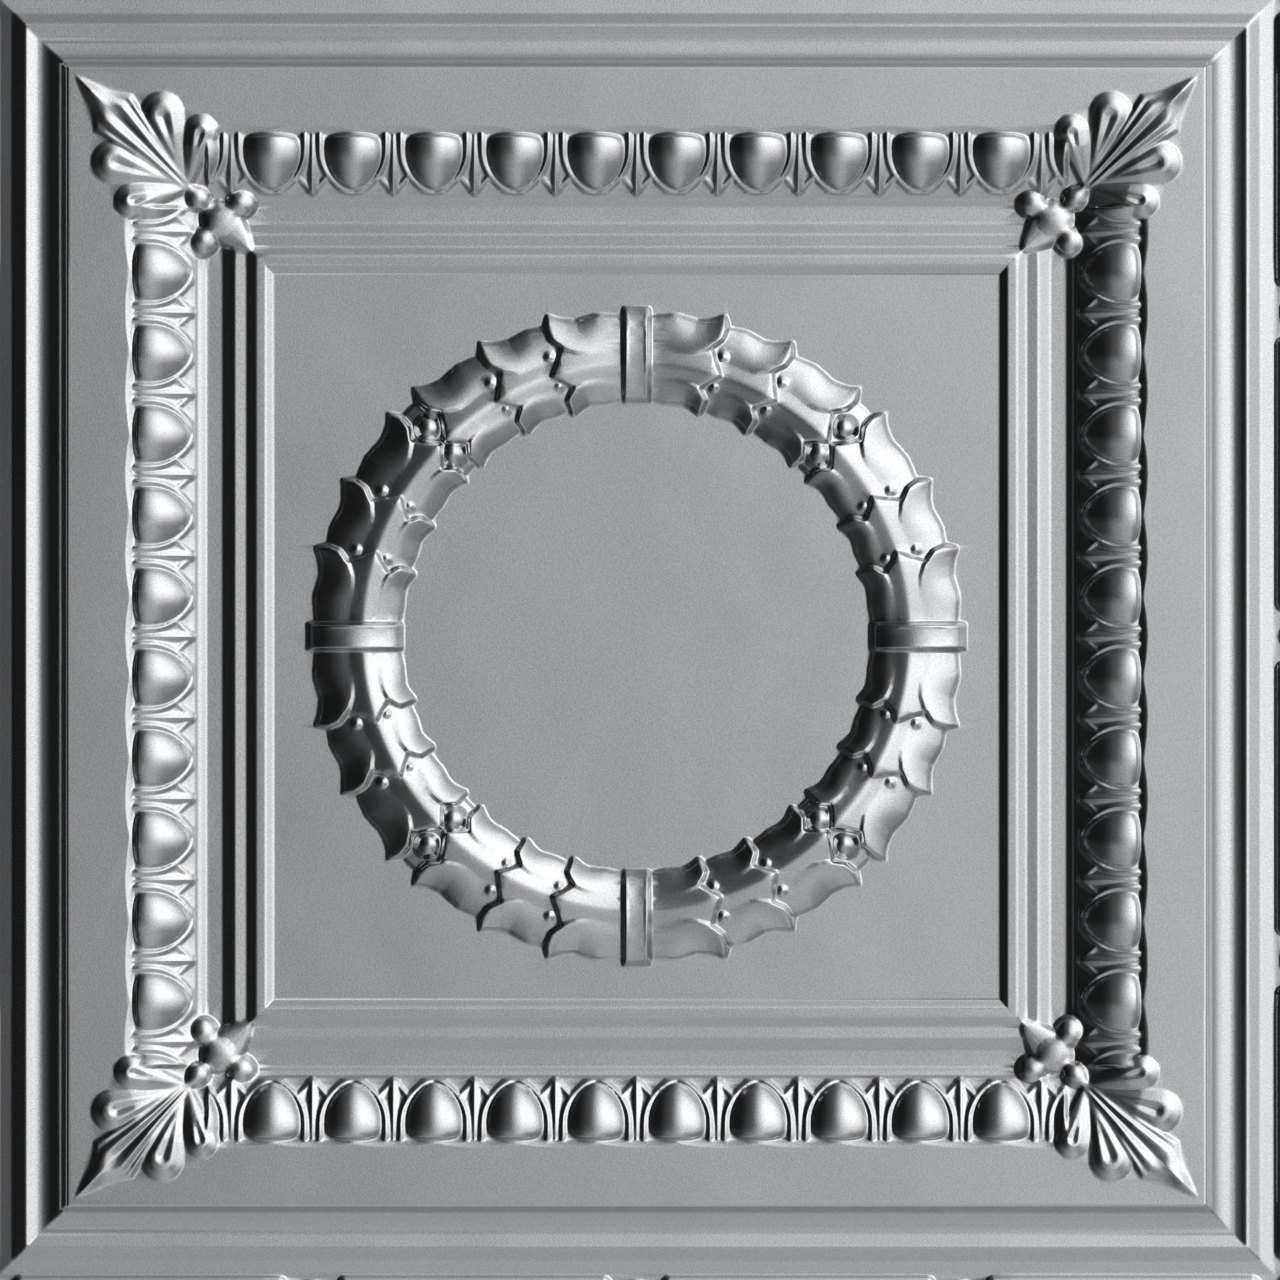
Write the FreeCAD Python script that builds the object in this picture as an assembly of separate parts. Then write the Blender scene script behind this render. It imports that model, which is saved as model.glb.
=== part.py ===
import FreeCAD
import Part
import math
import os

# Pressed tin ceiling tile: one thin sheet stamped in a die with a moulded frame,
# an egg-and-dart band, a leaf wreath and four corner palmettes.
# Millimetres; the tile lies face up on its nailing rim, centred on the origin.

Vec = FreeCAD.Vector
UP = Vec(0, 0, 1)

# Sheet
MODULE = 609.6        # tile pitch on the ceiling
LAP = 6.35            # rim outside the module line, lapped by the next tile
SHEET = 0.3           # thickness along the press stroke
DRAFT = 0.5           # sideways spread per millimetre of height on ornament walls

# Moulded frame: widths of its parts, from the rim inwards
RIM_WIDTH = 11.0
FLANGE_WIDTH = 7.0
RIDGE_WIDTH = 6.0
CREST_WIDTH = 1.2
SCOTIA_FALL_WIDTH = 6.1
SCOTIA_RISE_WIDTH = 12.5
FRAME_WIDTH = 31.0
STEP_WIDTH = 1.2
BAND_WIDTH = 29.1
BAND_FOOT_WIDTH = 3.9
GUTTER_WIDTH = 8.0
LOW_RISE_WIDTH = 5.0
LOW_FILLET_WIDTH = 6.2
HIGH_RISE_WIDTH = 3.8
HIGH_FILLET_WIDTH = 5.1
FIELD_FALL_WIDTH = 3.3

# Moulded frame: heights of the decorated face above the floor
FLANGE_Z = 1.1
CREST_Z = 5.0
SCOTIA_Z = 3.5
FRAME_Z = 12.5
BAND_Z = 11.0
BAND_FOOT_Z = 4.2
GUTTER_Z = 2.0
LOW_FILLET_Z = 5.0
LOW_FILLET_TILT = 0.3
HIGH_FILLET_Z = 7.2
FIELD_Z = 5.2

# Nail bead along the module line
NAIL_SPACES = 4       # nailing spots a side, one at each corner
NAIL_GAP = 23.0
BEAD_HALF_WIDTH = 4.2
BEAD_HEIGHT = 2.2
BEAD_SHOULDER_HALF_WIDTH = 2.5
BEAD_SHOULDER_HEIGHT = 1.75
BEAD_TIP_HALF_WIDTH = 0.75

# Egg-and-dart band
EGGS_PER_SIDE = 10
CORNER_CLEAR = 15.8   # from the band's inner corner back to the last dart
EGG_HEIGHT = 5.6
EGG_BLUNT_LENGTH = 10.8
EGG_POINT_LENGTH = 15.0
EGG_SETBACK = 12.4    # origin of an egg, inwards from the band's outer edge
EGG_END_HALF_WIDTH = 5.4
EGG_SHOULDER = 3.8    # from the origin outwards, where the egg is widest
EGG_HALF_WIDTH = 12.4
EGG_FLANK = 7.5       # from the origin inwards, where the egg begins to draw in
EGG_FLANK_HALF_WIDTH = 10.5
EGG_LEVELS = ((-1.0, 1.3), (0.68, 0.8), (1.0, 0.4))  # shares of the height and of the outline
DART_SETBACK = 19.0   # barbs of a dart, inwards from the band's outer edge
DART_SHAFT_LENGTH = 17.0
DART_HEAD_LENGTH = 9.0
DART_HALF_WIDTH = 4.5
DART_HEIGHT = 2.6
DART_LEVELS = ((-1.0, 1.8), (1.0, 0.2))  # shares of the height and of the outline

# Wreath
WREATH_RADIUS = 132.2
WREATH_ROWS = 3       # leaf rows from a strap to the diagonal
LEAF_ROW_ANGLE = 13.1
LEAF_FIRST_TIP_ANGLE = 15.7
LEAF_OVERLAP_ANGLE = 5.0
LEAF_RISE = 4.6       # from the root of a row to its tips
LEAF_EDGE_HEIGHT = 1.6
SIDE_CREST_HEIGHT = 6.0
NOTCH_HEIGHT = 5.4
CENTRE_CREST_HEIGHT = 8.6
OUTER_WAIST_OFFSET = 18.7
OUTER_TIP_OFFSET = 24.9
OUTER_CREST_OFFSET = 14.0
OUTER_NOTCH_OFFSET = 7.2
INNER_WAIST_OFFSET = 20.6
INNER_TIP_OFFSET = 24.6
INNER_CREST_OFFSET = 15.5
INNER_NOTCH_OFFSET = 8.4
CENTRE_TIP_LEAD = 2.8  # degrees that the centre tip runs ahead of the side tips
NOTCH_LAG = 1.4
SIDE_CREST_LAG = 0.8
STRAP_HALF_WIDTH = 6.4
STRAP_HALF_LENGTH = 21.8
STRAP_CROWN_HALF_LENGTH = 14.0
STRAP_EDGE_HEIGHT = 3.5
STRAP_CROWN_HEIGHT = 8.2
BERRY_RADIUS = 6.1
BERRY_OUTER_OFFSET = 7.5
BERRY_INNER_OFFSET = 10.3
BERRY_HEIGHT = 6.0

# Corner palmette, measured along the diagonal from its root
PALMETTE_ROOT = 211.2  # distance of the root from both centre lines
PALMETTE_EDGE_Z = 13.6
PALMETTE_CREST_Z = 15.6
LEAF_TIP_HALF_WIDTH = 0.6
TALL_LEAF_LENGTH = 74.0
TALL_LEAF_SHOULDER = 48.0
TALL_LEAF_HALF_WIDTH = 10.1
TALL_LEAF_NECK = 58.0
TALL_LEAF_NECK_HALF_WIDTH = 4.4
LOBE_ANGLES = (26.6, 60.0)
LOBE_LENGTHS = (46.0, 34.5)
LOBE_END_RADII = (10.3, 8.0)
LOBE_CORNER_SHARE = 0.7   # of the end radius: half width where the end is cut off
LOBE_CORNER_BACK = 0.3    # of the end radius: how far that cut lies behind the tip
LOBE_TIP_SHARE = 0.2      # of the end radius: half width at the buried tip

# Small fleur inside the palmette's root
FLEUR_CENTRE = 195.8   # distance from both centre lines
FLEUR_TIP_LENGTH = 21.0
FLEUR_SHOULDER = 9.5
FLEUR_HALF_WIDTH = 4.5
FLEUR_ROOT_HALF_WIDTH = 2.7
FLEUR_KNOB_REACH = 14.0
FLEUR_KNOB_RADIUS = 4.5
FLEUR_LOBE_REACH = 12.3
FLEUR_LOBE_RADIUS = 5.6
FLEUR_EDGE_Z = 6.2
FLEUR_CREST_Z = 7.6

# Round mounds: few sides, and levels as shares of the height and of the radius
DOME_SIDES = 6
DOME_LEVELS = ((-1.0, 1.4), (0.65, 0.74), (1.0, 0.3))

# Block under the face while the relief is put together
ORNAMENT_FOOT_Z = -8.0
BURIED = 1.0          # how far hidden ends of an ornament lie under the face
TRIM = 10.0           # how far the block reaches past what is kept of it
FLAT_ENOUGH = 1e-7    # largest twist of a four-cornered face that still counts as flat

HALF = MODULE / 2 + LAP


def inward_places():
    """Distance from the tile's centre to each change of the moulding's profile."""
    widths = (RIM_WIDTH, FLANGE_WIDTH, RIDGE_WIDTH, CREST_WIDTH, SCOTIA_FALL_WIDTH,
              SCOTIA_RISE_WIDTH, FRAME_WIDTH, STEP_WIDTH, BAND_WIDTH, BAND_FOOT_WIDTH,
              GUTTER_WIDTH, LOW_RISE_WIDTH, LOW_FILLET_WIDTH, HIGH_RISE_WIDTH,
              HIGH_FILLET_WIDTH, FIELD_FALL_WIDTH)
    places = []
    place = HALF
    for width in widths:
        place -= width
        places.append(place)
    return places


(RIM_AT, FLANGE_AT, CREST_OUT_AT, CREST_IN_AT, SCOTIA_AT, FRAME_OUT_AT, FRAME_IN_AT, BAND_OUT_AT,
 BAND_IN_AT, GUTTER_OUT_AT, GUTTER_IN_AT, LOW_OUT_AT, LOW_IN_AT, HIGH_OUT_AT, HIGH_IN_AT,
 FIELD_AT) = inward_places()

BAND_DROP = BAND_Z - BAND_FOOT_Z
EGG_PITCH = 2 * (BAND_IN_AT - CORNER_CLEAR) / EGGS_PER_SIDE


def band_z(distance):
    """Height of the sloping band at a distance from the centre line."""
    return BAND_Z - BAND_DROP * (BAND_OUT_AT - distance) / BAND_WIDTH


def rising_radius(run, rise):
    """Radius of the arc that starts level and climbs this rise over this run."""
    return (run ** 2 + rise ** 2) / (2 * rise)


def line(start, end):
    return Part.LineSegment(start, end).toShape()


def arc(start, middle, end):
    return Part.Arc(start, middle, end).toShape()


def facet(*corners):
    return Part.Face(Part.makePolygon(list(corners) + [corners[0]]))


def patch(a, b, c, d):
    """Flat face on four corners, or two triangles where they do not lie in one plane."""
    twist = (b - a).cross(c - a).normalize().dot(d - a)
    if abs(twist) < FLAT_ENOUGH:
        return [facet(a, b, c, d)]
    return [facet(a, b, c), facet(a, c, d)]


def lofted(sections):
    """Solid with flat facets through closed sections of equal point count."""
    faces = [facet(*sections[0]), facet(*sections[-1])]
    for near, far in zip(sections, sections[1:]):
        near_next = near[1:] + near[:1]
        far_next = far[1:] + far[:1]
        for corners in zip(near, near_next, far_next, far):
            faces += patch(*corners)
    return sewn(faces)


def keeled_leaf(stations, foot_z=ORNAMENT_FOOT_Z):
    """Leaf along +X; a station is (along, half width, edge height, crest height)."""
    sections = []
    for along, half_width, edge_z, crest_z in stations:
        foot = half_width + (edge_z - foot_z) * DRAFT
        sections.append([
            Vec(along, -foot, foot_z),
            Vec(along, -half_width, edge_z),
            Vec(along, 0, crest_z),
            Vec(along, half_width, edge_z),
            Vec(along, foot, foot_z),
        ])
    return lofted(sections)


def placed(shape, x, y, turn):
    """Copy of a shape turned about Z in degrees, then moved in the plane."""
    copy = shape.copy()
    copy.Placement = FreeCAD.Placement(Vec(x, y, 0), FreeCAD.Rotation(UP, turn))
    return copy


def raised(outline, height, levels):
    """Mound on z = 0 with flat facets; a level is shares of the height and of the outline."""
    sections = []
    for rise, size in levels:
        sections.append([Vec(x * size, y * size, height * rise) for x, y in outline])
    return lofted(sections)


def polar(radius, angle):
    """Point of the plane at a radius and an angle in degrees."""
    turn = math.radians(angle)
    return Vec(radius * math.cos(turn), radius * math.sin(turn), 0)


def dome(x, y, radius, base_z, height):
    """Round mound of few sides, with two corners set square to the diagonal."""
    corners = [polar(radius, 360 * (side + 0.5) / DOME_SIDES) for side in range(DOME_SIDES)]
    mound = raised([(corner.x, corner.y) for corner in corners], height, DOME_LEVELS)
    mound = placed(mound, x, y, 45)
    mound.translate(UP * base_z)
    return mound


def moulding():
    """Block under the moulded frame and field, run straight along one side."""
    def at(distance, z):
        return Vec(distance, 0, z)

    scotia_radius = rising_radius(SCOTIA_RISE_WIDTH, FRAME_Z - SCOTIA_Z)
    half_run = SCOTIA_RISE_WIDTH / 2
    scotia_mid_z = SCOTIA_Z + scotia_radius - math.sqrt(scotia_radius ** 2 - half_run ** 2)
    reach = HALF + TRIM
    block_foot_z = ORNAMENT_FOOT_Z - TRIM
    edges = [
        line(at(-TRIM, FIELD_Z), at(FIELD_AT, FIELD_Z)),
        line(at(FIELD_AT, FIELD_Z), at(HIGH_IN_AT, HIGH_FILLET_Z)),
        line(at(HIGH_IN_AT, HIGH_FILLET_Z), at(HIGH_OUT_AT, HIGH_FILLET_Z)),
        line(at(HIGH_OUT_AT, HIGH_FILLET_Z), at(LOW_IN_AT, LOW_FILLET_Z - LOW_FILLET_TILT)),
        line(at(LOW_IN_AT, LOW_FILLET_Z - LOW_FILLET_TILT), at(LOW_OUT_AT, LOW_FILLET_Z)),
        line(at(LOW_OUT_AT, LOW_FILLET_Z), at(GUTTER_IN_AT, GUTTER_Z)),
        line(at(GUTTER_IN_AT, GUTTER_Z), at(GUTTER_OUT_AT, GUTTER_Z)),
        line(at(GUTTER_OUT_AT, GUTTER_Z), at(BAND_IN_AT, BAND_FOOT_Z)),
        line(at(BAND_IN_AT, BAND_FOOT_Z), at(BAND_OUT_AT, BAND_Z)),
        line(at(BAND_OUT_AT, BAND_Z), at(FRAME_IN_AT, FRAME_Z)),
        line(at(FRAME_IN_AT, FRAME_Z), at(FRAME_OUT_AT, FRAME_Z)),
        arc(at(FRAME_OUT_AT, FRAME_Z), at(SCOTIA_AT - half_run, scotia_mid_z), at(SCOTIA_AT, SCOTIA_Z)),
        line(at(SCOTIA_AT, SCOTIA_Z), at(CREST_IN_AT, CREST_Z)),
        line(at(CREST_IN_AT, CREST_Z), at(CREST_OUT_AT, CREST_Z)),
        line(at(CREST_OUT_AT, CREST_Z), at(FLANGE_AT, FLANGE_Z)),
        line(at(FLANGE_AT, FLANGE_Z), at(RIM_AT, SHEET)),
        line(at(RIM_AT, SHEET), at(reach, SHEET)),
        line(at(reach, SHEET), at(reach, block_foot_z)),
        line(at(reach, block_foot_z), at(-TRIM, block_foot_z)),
        line(at(-TRIM, block_foot_z), at(-TRIM, FIELD_Z)),
    ]
    block = Part.Face(Part.Wire(edges)).extrude(Vec(0, reach + TRIM, 0))
    block.translate(Vec(0, -TRIM, 0))
    return block


def nail_bead():
    """Half-round beads along the module line, left out at the nailing spots."""
    pitch = MODULE / NAIL_SPACES
    length = pitch - NAIL_GAP
    shoulder_z = SHEET + BEAD_SHOULDER_HEIGHT
    crest_z = SHEET + BEAD_HEIGHT
    bead = keeled_leaf([
        (0, BEAD_TIP_HALF_WIDTH, -SHEET, -SHEET),
        (BEAD_HALF_WIDTH, BEAD_SHOULDER_HALF_WIDTH, shoulder_z, crest_z),
        (length - BEAD_HALF_WIDTH, BEAD_SHOULDER_HALF_WIDTH, shoulder_z, crest_z),
        (length, BEAD_TIP_HALF_WIDTH, -SHEET, -SHEET),
    ])
    pieces = []
    for space in range(NAIL_SPACES // 2):
        pieces.append(placed(bead, MODULE / 2, space * pitch + NAIL_GAP / 2, 90))
    return pieces


def egg():
    """Egg standing on z = 0: blunt towards +X, drawn to a soft point towards -X."""
    half_outline = [
        (EGG_BLUNT_LENGTH, EGG_END_HALF_WIDTH),
        (EGG_SHOULDER, EGG_HALF_WIDTH),
        (-EGG_FLANK, EGG_FLANK_HALF_WIDTH),
    ]
    other_half = [(x, -y) for x, y in half_outline]
    outline = half_outline + [(-EGG_POINT_LENGTH, 0)] + other_half[::-1]
    return raised(outline, EGG_HEIGHT, EGG_LEVELS)


def dart():
    """Dart on z = 0, drawn out from its barbs at the origin to a long tail and a short tip."""
    outline = [(DART_SHAFT_LENGTH, 0), (0, DART_HALF_WIDTH), (-DART_HEAD_LENGTH, 0), (0, -DART_HALF_WIDTH)]
    return raised(outline, DART_HEIGHT, DART_LEVELS)


def on_band(ornament, distance, along):
    """Ornament laid on the sloping band with its origin at a distance from the centre line."""
    copy = ornament.copy()
    copy.rotate(Vec(0, 0, 0), Vec(0, 1, 0), -math.degrees(math.atan2(BAND_DROP, BAND_WIDTH)))
    copy.translate(Vec(distance, along, band_z(distance)))
    return copy


def egg_and_dart():
    """Eggs of half a side with the darts between them."""
    pieces = []
    for index in range(EGGS_PER_SIDE // 2):
        pieces.append(on_band(egg(), BAND_OUT_AT - EGG_SETBACK, (index + 0.5) * EGG_PITCH))
    for index in range(EGGS_PER_SIDE // 2 + 1):
        pieces.append(on_band(dart(), BAND_OUT_AT - DART_SETBACK, index * EGG_PITCH))
    return pieces


def leaf_row(tip_angle):
    """Crown of three leaves across the wreath, its root under the row behind."""
    root_angle = tip_angle - LEAF_ROW_ANGLE - LEAF_OVERLAP_ANGLE
    # Across the ring: offset at the root, offset at the tips, angle ahead of the row, height
    points = [
        (-INNER_WAIST_OFFSET, -INNER_TIP_OFFSET, 0, LEAF_EDGE_HEIGHT),
        (-INNER_CREST_OFFSET, -INNER_CREST_OFFSET, -SIDE_CREST_LAG, SIDE_CREST_HEIGHT),
        (-INNER_NOTCH_OFFSET, -INNER_NOTCH_OFFSET, -NOTCH_LAG, NOTCH_HEIGHT),
        (0, 0, CENTRE_TIP_LEAD, CENTRE_CREST_HEIGHT),
        (OUTER_NOTCH_OFFSET, OUTER_NOTCH_OFFSET, -NOTCH_LAG, NOTCH_HEIGHT),
        (OUTER_CREST_OFFSET, OUTER_CREST_OFFSET, -SIDE_CREST_LAG, SIDE_CREST_HEIGHT),
        (OUTER_WAIST_OFFSET, OUTER_TIP_OFFSET, 0, LEAF_EDGE_HEIGHT),
    ]
    end_angle = tip_angle + CENTRE_TIP_LEAD + LEAF_OVERLAP_ANGLE
    root, tips, drop, end = [], [], [], []
    for root_offset, tip_offset, lead, height in points:
        wall_angle = math.degrees((height + BURIED) * DRAFT / WREATH_RADIUS)
        root.append(ring_point(root_offset, root_angle, height - LEAF_RISE))
        tips.append(ring_point(tip_offset, tip_angle + lead, height))
        drop.append(ring_point(tip_offset, tip_angle + lead + wall_angle, -BURIED))
        end.append(ring_point(tip_offset, end_angle, -2 * BURIED))
    return lofted([with_feet(section) for section in (root, tips, drop, end)])


def ring_point(offset, angle, height):
    """Point at an offset from the wreath's middle circle and a height above the field."""
    return polar(WREATH_RADIUS + offset, angle) + UP * (FIELD_Z + height)


def with_feet(section):
    """Section across the ring, closed by spreading feet under the field."""
    feet = []
    for point, side in ((section[-1], 1), (section[0], -1)):
        outward = Vec(point.x, point.y, 0).normalize() * side
        depth = point.z - ORNAMENT_FOOT_Z
        feet.append(point + outward * (depth * DRAFT) - UP * depth)
    return section + feet


def leaf_rows():
    """Rows of leaves from the strap to the diagonal."""
    return [leaf_row(LEAF_FIRST_TIP_ANGLE + row * LEAF_ROW_ANGLE) for row in range(WREATH_ROWS)]


def wreath_strap():
    """Strap bound over the wreath on a centre line, with sloping sides."""
    def section(across, spread, sink):
        reach = STRAP_HALF_LENGTH + spread
        crown = STRAP_CROWN_HALF_LENGTH + spread
        foot = reach + (STRAP_EDGE_HEIGHT + FIELD_Z - ORNAMENT_FOOT_Z) * DRAFT
        edge_z = FIELD_Z + STRAP_EDGE_HEIGHT - sink
        crown_z = FIELD_Z + STRAP_CROWN_HEIGHT - sink
        outline = [(-foot, ORNAMENT_FOOT_Z), (-reach, edge_z), (-crown, crown_z),
                   (crown, crown_z), (reach, edge_z), (foot, ORNAMENT_FOOT_Z)]
        return [Vec(WREATH_RADIUS + along, across, z) for along, z in outline]

    sink = STRAP_CROWN_HEIGHT + BURIED
    spread = sink * DRAFT
    return lofted([
        section(-STRAP_HALF_WIDTH - spread, 0, sink),
        section(-STRAP_HALF_WIDTH, 0, 0),
        section(STRAP_HALF_WIDTH, 0, 0),
        section(STRAP_HALF_WIDTH + spread, 0, sink),
    ])


def berries():
    """Two berries at the meeting of the leaf rows on the diagonal."""
    outer = polar(WREATH_RADIUS + BERRY_OUTER_OFFSET, 45)
    inner = polar(WREATH_RADIUS - BERRY_INNER_OFFSET, 45)
    return [dome(spot.x, spot.y, BERRY_RADIUS, FIELD_Z, BERRY_HEIGHT) for spot in (outer, inner)]


def palmette():
    """Centre leaf and the lobes of one side, fanned about the root on the diagonal."""
    root_buried_z = GUTTER_Z - BURIED
    tip_buried_z = FRAME_Z - BURIED
    tall = keeled_leaf([
        (0, LEAF_TIP_HALF_WIDTH, root_buried_z, root_buried_z),
        (TALL_LEAF_SHOULDER, TALL_LEAF_HALF_WIDTH, PALMETTE_EDGE_Z, PALMETTE_CREST_Z),
        (TALL_LEAF_NECK, TALL_LEAF_NECK_HALF_WIDTH, PALMETTE_EDGE_Z, PALMETTE_CREST_Z),
        (TALL_LEAF_LENGTH, LEAF_TIP_HALF_WIDTH, tip_buried_z, tip_buried_z),
    ])
    pieces = [placed(tall, PALMETTE_ROOT, PALMETTE_ROOT, 45)]
    for angle, length, end_radius in zip(LOBE_ANGLES, LOBE_LENGTHS, LOBE_END_RADII):
        lobe = keeled_leaf([
            (0, LEAF_TIP_HALF_WIDTH, root_buried_z, root_buried_z),
            (length - end_radius, end_radius, PALMETTE_EDGE_Z, PALMETTE_CREST_Z),
            (length - end_radius * LOBE_CORNER_BACK, end_radius * LOBE_CORNER_SHARE,
             PALMETTE_EDGE_Z, PALMETTE_CREST_Z),
            (length, end_radius * LOBE_TIP_SHARE, tip_buried_z, tip_buried_z),
        ])
        pieces.append(placed(lobe, PALMETTE_ROOT, PALMETTE_ROOT, 45 - angle))
    return pieces


def fleur():
    """Four-part fleur on the diagonal: a pointed leaf inwards, a knob and two round lobes."""
    buried_z = GUTTER_Z - BURIED
    leaf = keeled_leaf([
        (-FLEUR_HALF_WIDTH, FLEUR_ROOT_HALF_WIDTH, buried_z, buried_z),
        (FLEUR_SHOULDER, FLEUR_HALF_WIDTH, FLEUR_EDGE_Z, FLEUR_CREST_Z),
        (FLEUR_TIP_LENGTH, LEAF_TIP_HALF_WIDTH, buried_z, buried_z),
    ])
    diagonal_share = math.sqrt(0.5)
    knob = FLEUR_CENTRE + FLEUR_KNOB_REACH * diagonal_share
    lobe_x = FLEUR_CENTRE + FLEUR_LOBE_REACH * diagonal_share
    lobe_y = FLEUR_CENTRE - FLEUR_LOBE_REACH * diagonal_share
    height = FLEUR_EDGE_Z - GUTTER_Z
    return [
        placed(leaf, FLEUR_CENTRE, FLEUR_CENTRE, 225),
        dome(knob, knob, FLEUR_KNOB_RADIUS, GUTTER_Z, height),
        dome(lobe_x, lobe_y, FLEUR_LOBE_RADIUS, GUTTER_Z, height),
    ]


def face_octant():
    """Faces of the decorated side from a side's centre line to the diagonal."""
    ornament = nail_bead() + egg_and_dart()
    ornament += [wreath_strap()] + leaf_rows() + berries()
    ornament += palmette() + fleur()
    block = moulding().multiFuse(ornament)
    foot_z = ORNAMENT_FOOT_Z - BURIED
    corners = [Vec(0, 0, foot_z), Vec(HALF, 0, foot_z), Vec(HALF, HALF, foot_z)]
    wedge = facet(*corners).extrude(UP * (PALMETTE_CREST_Z - foot_z + TRIM))
    return [face for face in block.common(wedge).Faces if face.normalAt(0, 0).z > FLAT_ENOUGH]


def sewn(faces):
    """Closed solid from faces that meet edge to edge."""
    shell = Part.makeShell(faces)
    shell.sewShape()
    solid = Part.Solid(shell)
    if solid.Volume < 0:
        solid = Part.Solid(shell.reversed())
    return solid


def ceiling_tile():
    """The whole sheet: its face, the same face one thickness lower, and the cut edge."""
    upper = face_octant()
    lower = [face.translated(Vec(0, 0, -SHEET)) for face in upper]
    cut_edge = facet(Vec(HALF, 0, 0), Vec(HALF, HALF, 0), Vec(HALF, HALF, SHEET), Vec(HALF, 0, SHEET))
    octant = Part.makeCompound(upper + lower + [cut_edge])
    faces = []
    for quarter in range(4):
        for half in (octant, octant.mirror(Vec(0, 0, 0), Vec(1, -1, 0))):
            copy = half.copy()
            copy.rotate(Vec(0, 0, 0), UP, 90 * quarter)
            faces += copy.Faces
    return sewn(faces)


os.makedirs("parts", exist_ok=True)
ceiling_tile().exportStep("parts/ceiling_tile.step")
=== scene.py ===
import bpy
import math
import numpy as np
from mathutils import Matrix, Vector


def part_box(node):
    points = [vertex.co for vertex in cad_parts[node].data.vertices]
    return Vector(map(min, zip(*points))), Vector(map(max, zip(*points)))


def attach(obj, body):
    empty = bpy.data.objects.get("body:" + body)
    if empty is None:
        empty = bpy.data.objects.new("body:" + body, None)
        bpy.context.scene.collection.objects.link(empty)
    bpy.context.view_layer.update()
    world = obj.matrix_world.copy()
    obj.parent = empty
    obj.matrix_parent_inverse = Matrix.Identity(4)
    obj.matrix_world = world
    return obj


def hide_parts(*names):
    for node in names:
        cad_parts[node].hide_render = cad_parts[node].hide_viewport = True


# Looks of the pressed tin ceiling tile. The sheet is rebuilt as one mesh whose upper face is a
# height over the tile's plan, in millimetres, with the tile's centre at the origin.
# "Distance" is measured from a centre line towards the side, "along" runs along that side.

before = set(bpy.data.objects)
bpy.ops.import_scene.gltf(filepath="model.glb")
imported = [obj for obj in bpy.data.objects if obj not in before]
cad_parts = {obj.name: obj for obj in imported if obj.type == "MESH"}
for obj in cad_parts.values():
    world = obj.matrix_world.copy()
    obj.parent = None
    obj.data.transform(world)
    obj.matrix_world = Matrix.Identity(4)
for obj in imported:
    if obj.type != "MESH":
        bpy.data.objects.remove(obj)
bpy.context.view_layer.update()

MM = 0.001
_, TILE_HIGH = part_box("ceiling_tile")
HALF = TILE_HIGH[0] / MM
COS_45 = math.sqrt(0.5)
TINY = 1e-6                 # keeps a division off zero and a sample inside the grid
FAR_BELOW = 50.0            # depth given to ornament outside its outline

# Mesh
GRID_STEPS = 800            # steps of the height grid from the centre to the edge
FACE_OCTANT_TRIANGLES = 18500   # kept for one eighth of the upper face
BACK_OCTANT_TRIANGLES = 5000    # and for one eighth of the back
PRESS_SOFTNESS = 0.45       # blur of the moulding: a press leaves no sharp corner
LEAF_SOFTNESS = 0.65        # blur of the wreath and the corner ornament
SOFTNESS_BLEND = 8.0        # width over which one blur passes into the other
BLUR_REACH = 3              # a blur is cut off at this many times its softness
MERGE_STEPS = 1000          # border points are compared in this many steps a millimetre
SMALL_FACE = 4.0            # square millimetres: up to this a face has the relief's exact normals
LARGE_FACE = 12.0           # and from this on the mean of the faces around each point
SHEET = 0.3

# Moulded frame: distance of each change of its profile, and heights of the face
RIM_AT = 300.15
FLANGE_AT = 293.2
CREST_OUT_AT = 287.3
CREST_IN_AT = 286.0
SCOTIA_AT = 279.9
FRAME_OUT_AT = 267.35
FRAME_IN_AT = 237.0
BAND_OUT_AT = 236.3
BAND_IN_AT = 206.1
GUTTER_OUT_AT = 202.2
GUTTER_IN_AT = 194.2
LOW_OUT_AT = 188.9
LOW_IN_AT = 182.9
HIGH_OUT_AT = 178.8
HIGH_IN_AT = 174.0
FIELD_AT = 170.6
FLANGE_Z = 1.1
CREST_Z = 5.0
SCOTIA_Z = 3.5
FRAME_Z = 12.5
BAND_Z = 11.0
BAND_FOOT_Z = 4.2
GUTTER_Z = 2.0
LOW_FILLET_Z = 5.0
LOW_FILLET_TILT = 0.3
HIGH_FILLET_Z = 7.2
FIELD_Z = 5.2
ARC_STEPS = 14              # straight stretches in each arc of the profile
PLAIN_STEP_WIDTH = 0.1      # the profile steps up from band to frame over this width
PAST_EDGE = 1.0             # and runs on this far past the tile's edge
EGG_STEP_WIDTH = 1.6        # the scalloped step is this wide at an egg
DART_STEP_WIDTH = 3.8       # and this wide at a dart
SCALLOP_DEPTH = 2.3         # the frame's inner edge bows back between the eggs
SCALLOP_GROOVE_DEPTH = 0.3  # and a groove runs along its foot there
SCALLOP_GROOVE_HALF_WIDTH = 1.8
LIP_AT = 205.9              # fine groove below the band
LIP_HALF_WIDTH = 1.1
LIP_DEPTH = 0.5

# Nail bead
MODULE = 609.6
NAIL_SPACES = 4
NAIL_GAP = 23.0
BEAD_HALF_WIDTH = 4.4
BEAD_HEIGHT = 2.2
BUTTON_HALF_LENGTH = 6.0
BUTTON_HALF_WIDTH = 2.6
BUTTON_HEIGHT = 1.1

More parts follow.
